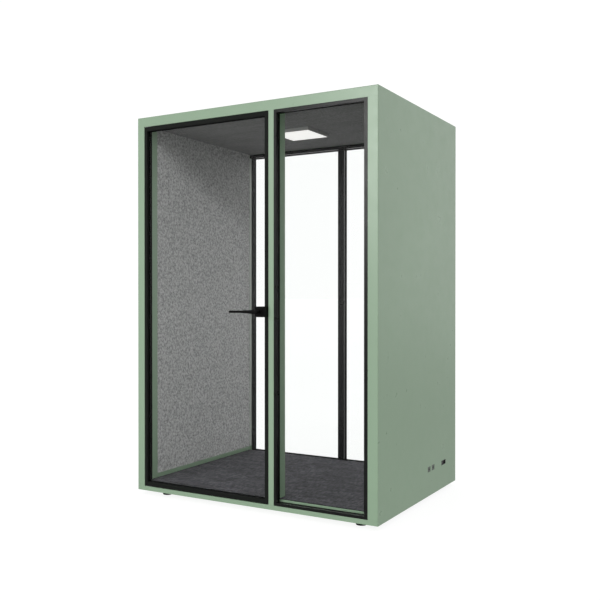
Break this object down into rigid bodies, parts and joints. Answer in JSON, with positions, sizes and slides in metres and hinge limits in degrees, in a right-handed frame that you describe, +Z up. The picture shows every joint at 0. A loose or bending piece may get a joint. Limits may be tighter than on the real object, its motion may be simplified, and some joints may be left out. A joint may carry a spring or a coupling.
{
  "type": "acoustic office pod",
  "caption": "Free-standing acoustic office pod with sage steel shell, felt-lined cabin, hinged glass door with lever lock, fixed glazing front and rear, ceiling light and fan ventilation.",
  "frame": {"origin": "on the floor, under the middle of the whole outline, levers included", "axes": "+Z up, +X to the right for a person facing the door, front and door towards -Y"},
  "size_m": [1.61, 1.262, 2.3],
  "materials": {
    "green_paint": "satin",
    "black_frame": "satin",
    "clear_glass": "gloss",
    "wall_felt": "matte",
    "ceiling_felt": "matte",
    "carpet": "matte",
    "acoustic_core": "matte",
    "floor_board": "matte",
    "plain_steel": "satin",
    "grey_aluminium": "satin",
    "black_rubber": "matte",
    "black_plastic": "matte",
    "grey_plastic": "matte",
    "white_plastic": "satin",
    "light_diffuser": "matte"
  },
  "bodies": {
    "shell": {"front_left_jamb": "green_paint", "front_right_jamb": "green_paint", "front_mullion": "green_paint", "front_header": "green_paint", "front_sill": "green_paint", "rear_header": "green_paint", "rear_sill": "green_paint", "rear_left_jamb": "green_paint", "rear_right_jamb": "green_paint", "left_outer_panel": "green_paint", "right_outer_panel": "green_paint", "left_skirting": "green_paint", "right_skirting": "green_paint", "roof_panel": "green_paint", "front_bead_frame": "black_frame", "rear_bead_frame": "black_frame", "rear_mullion": "black_frame", "front_glass": "clear_glass", "rear_glass_left": "clear_glass", "rear_glass_right": "clear_glass", "left_felt_panel": "wall_felt", "right_felt_panel": "wall_felt", "ceiling_felt_panel": "ceiling_felt", "carpet": "carpet", "left_acoustic_core": "acoustic_core", "right_acoustic_core": "acoustic_core", "roof_acoustic_core": "acoustic_core", "floor_board": "floor_board", "base_tray": "plain_steel", "bottom_pivot": "plain_steel", "top_pivot": "plain_steel", "strike_plate": "plain_steel", "light_housing": "plain_steel", "threshold_strip": "grey_aluminium", "foot_front_left": "black_rubber", "foot_front_right": "black_rubber", "foot_rear_left": "black_rubber", "foot_rear_right": "black_rubber", "door_seal": "black_rubber", "fan_1_frame": "black_plastic", "fan_2_frame": "black_plastic", "ceiling_grille_1": "black_plastic", "ceiling_grille_2": "black_plastic", "power_inlet": "black_plastic", "data_sockets": "grey_plastic", "switch_plate": "white_plastic", "light_diffuser": "light_diffuser"},
    "door": {"door_hinge_stile": "black_frame", "door_latch_stile": "black_frame", "door_top_rail": "black_frame", "door_bottom_rail": "black_frame", "door_glass": "clear_glass", "lock_case": "black_frame"},
    "lever": {"outer_lever": "black_frame", "inner_lever": "black_frame"},
    "latch": {"latch_bolt": "plain_steel"},
    "fan_1": {"fan_1_rotor": "black_plastic"},
    "fan_2": {"fan_2_rotor": "black_plastic"},
    "light_rocker": {"light_switch": "white_plastic"},
    "fan_rocker": {"fan_switch": "white_plastic"}
  },
  "joints": [
    {"name": "door_swing", "type": "hinge", "parent": "shell", "child": "door", "pos_m": [-0.741, -0.562, 1.147], "axis": [0, 0, -1], "range_deg": [0, 105]},
    {"name": "lever_turn", "type": "hinge", "parent": "door", "child": "lever", "pos_m": [0.092, -0.559, 1.1245], "axis": [0, -1, 0], "range_deg": [0, 45], "stiffness_Nm_per_rad": 1.2, "springref_deg": -28.65},
    {"name": "latch_slide", "type": "slide", "parent": "door", "child": "latch", "axis": [-1, 0, 0], "range_m": [0, 0.012]},
    {"name": "fan_1_spin", "type": "hinge", "parent": "shell", "child": "fan_1", "pos_m": [0.54, 0.141, 2.272], "axis": [0, 0, 1], "continuous": true},
    {"name": "fan_2_spin", "type": "hinge", "parent": "shell", "child": "fan_2", "pos_m": [0.54, 0.421, 2.272], "axis": [0, 0, 1], "continuous": true},
    {"name": "light_switch_rock", "type": "hinge", "parent": "shell", "child": "light_rocker", "pos_m": [0.735, -0.157, 1.103], "axis": [0, -1, 0], "range_deg": [0, 8]},
    {"name": "fan_switch_rock", "type": "hinge", "parent": "shell", "child": "fan_rocker", "pos_m": [0.735, -0.091, 1.103], "axis": [0, -1, 0], "range_deg": [0, 8]}
  ],
  "couplings": [
    {"joint": "latch_slide", "follows": "lever_turn", "m_per_rad": 0.0152}
  ]
}
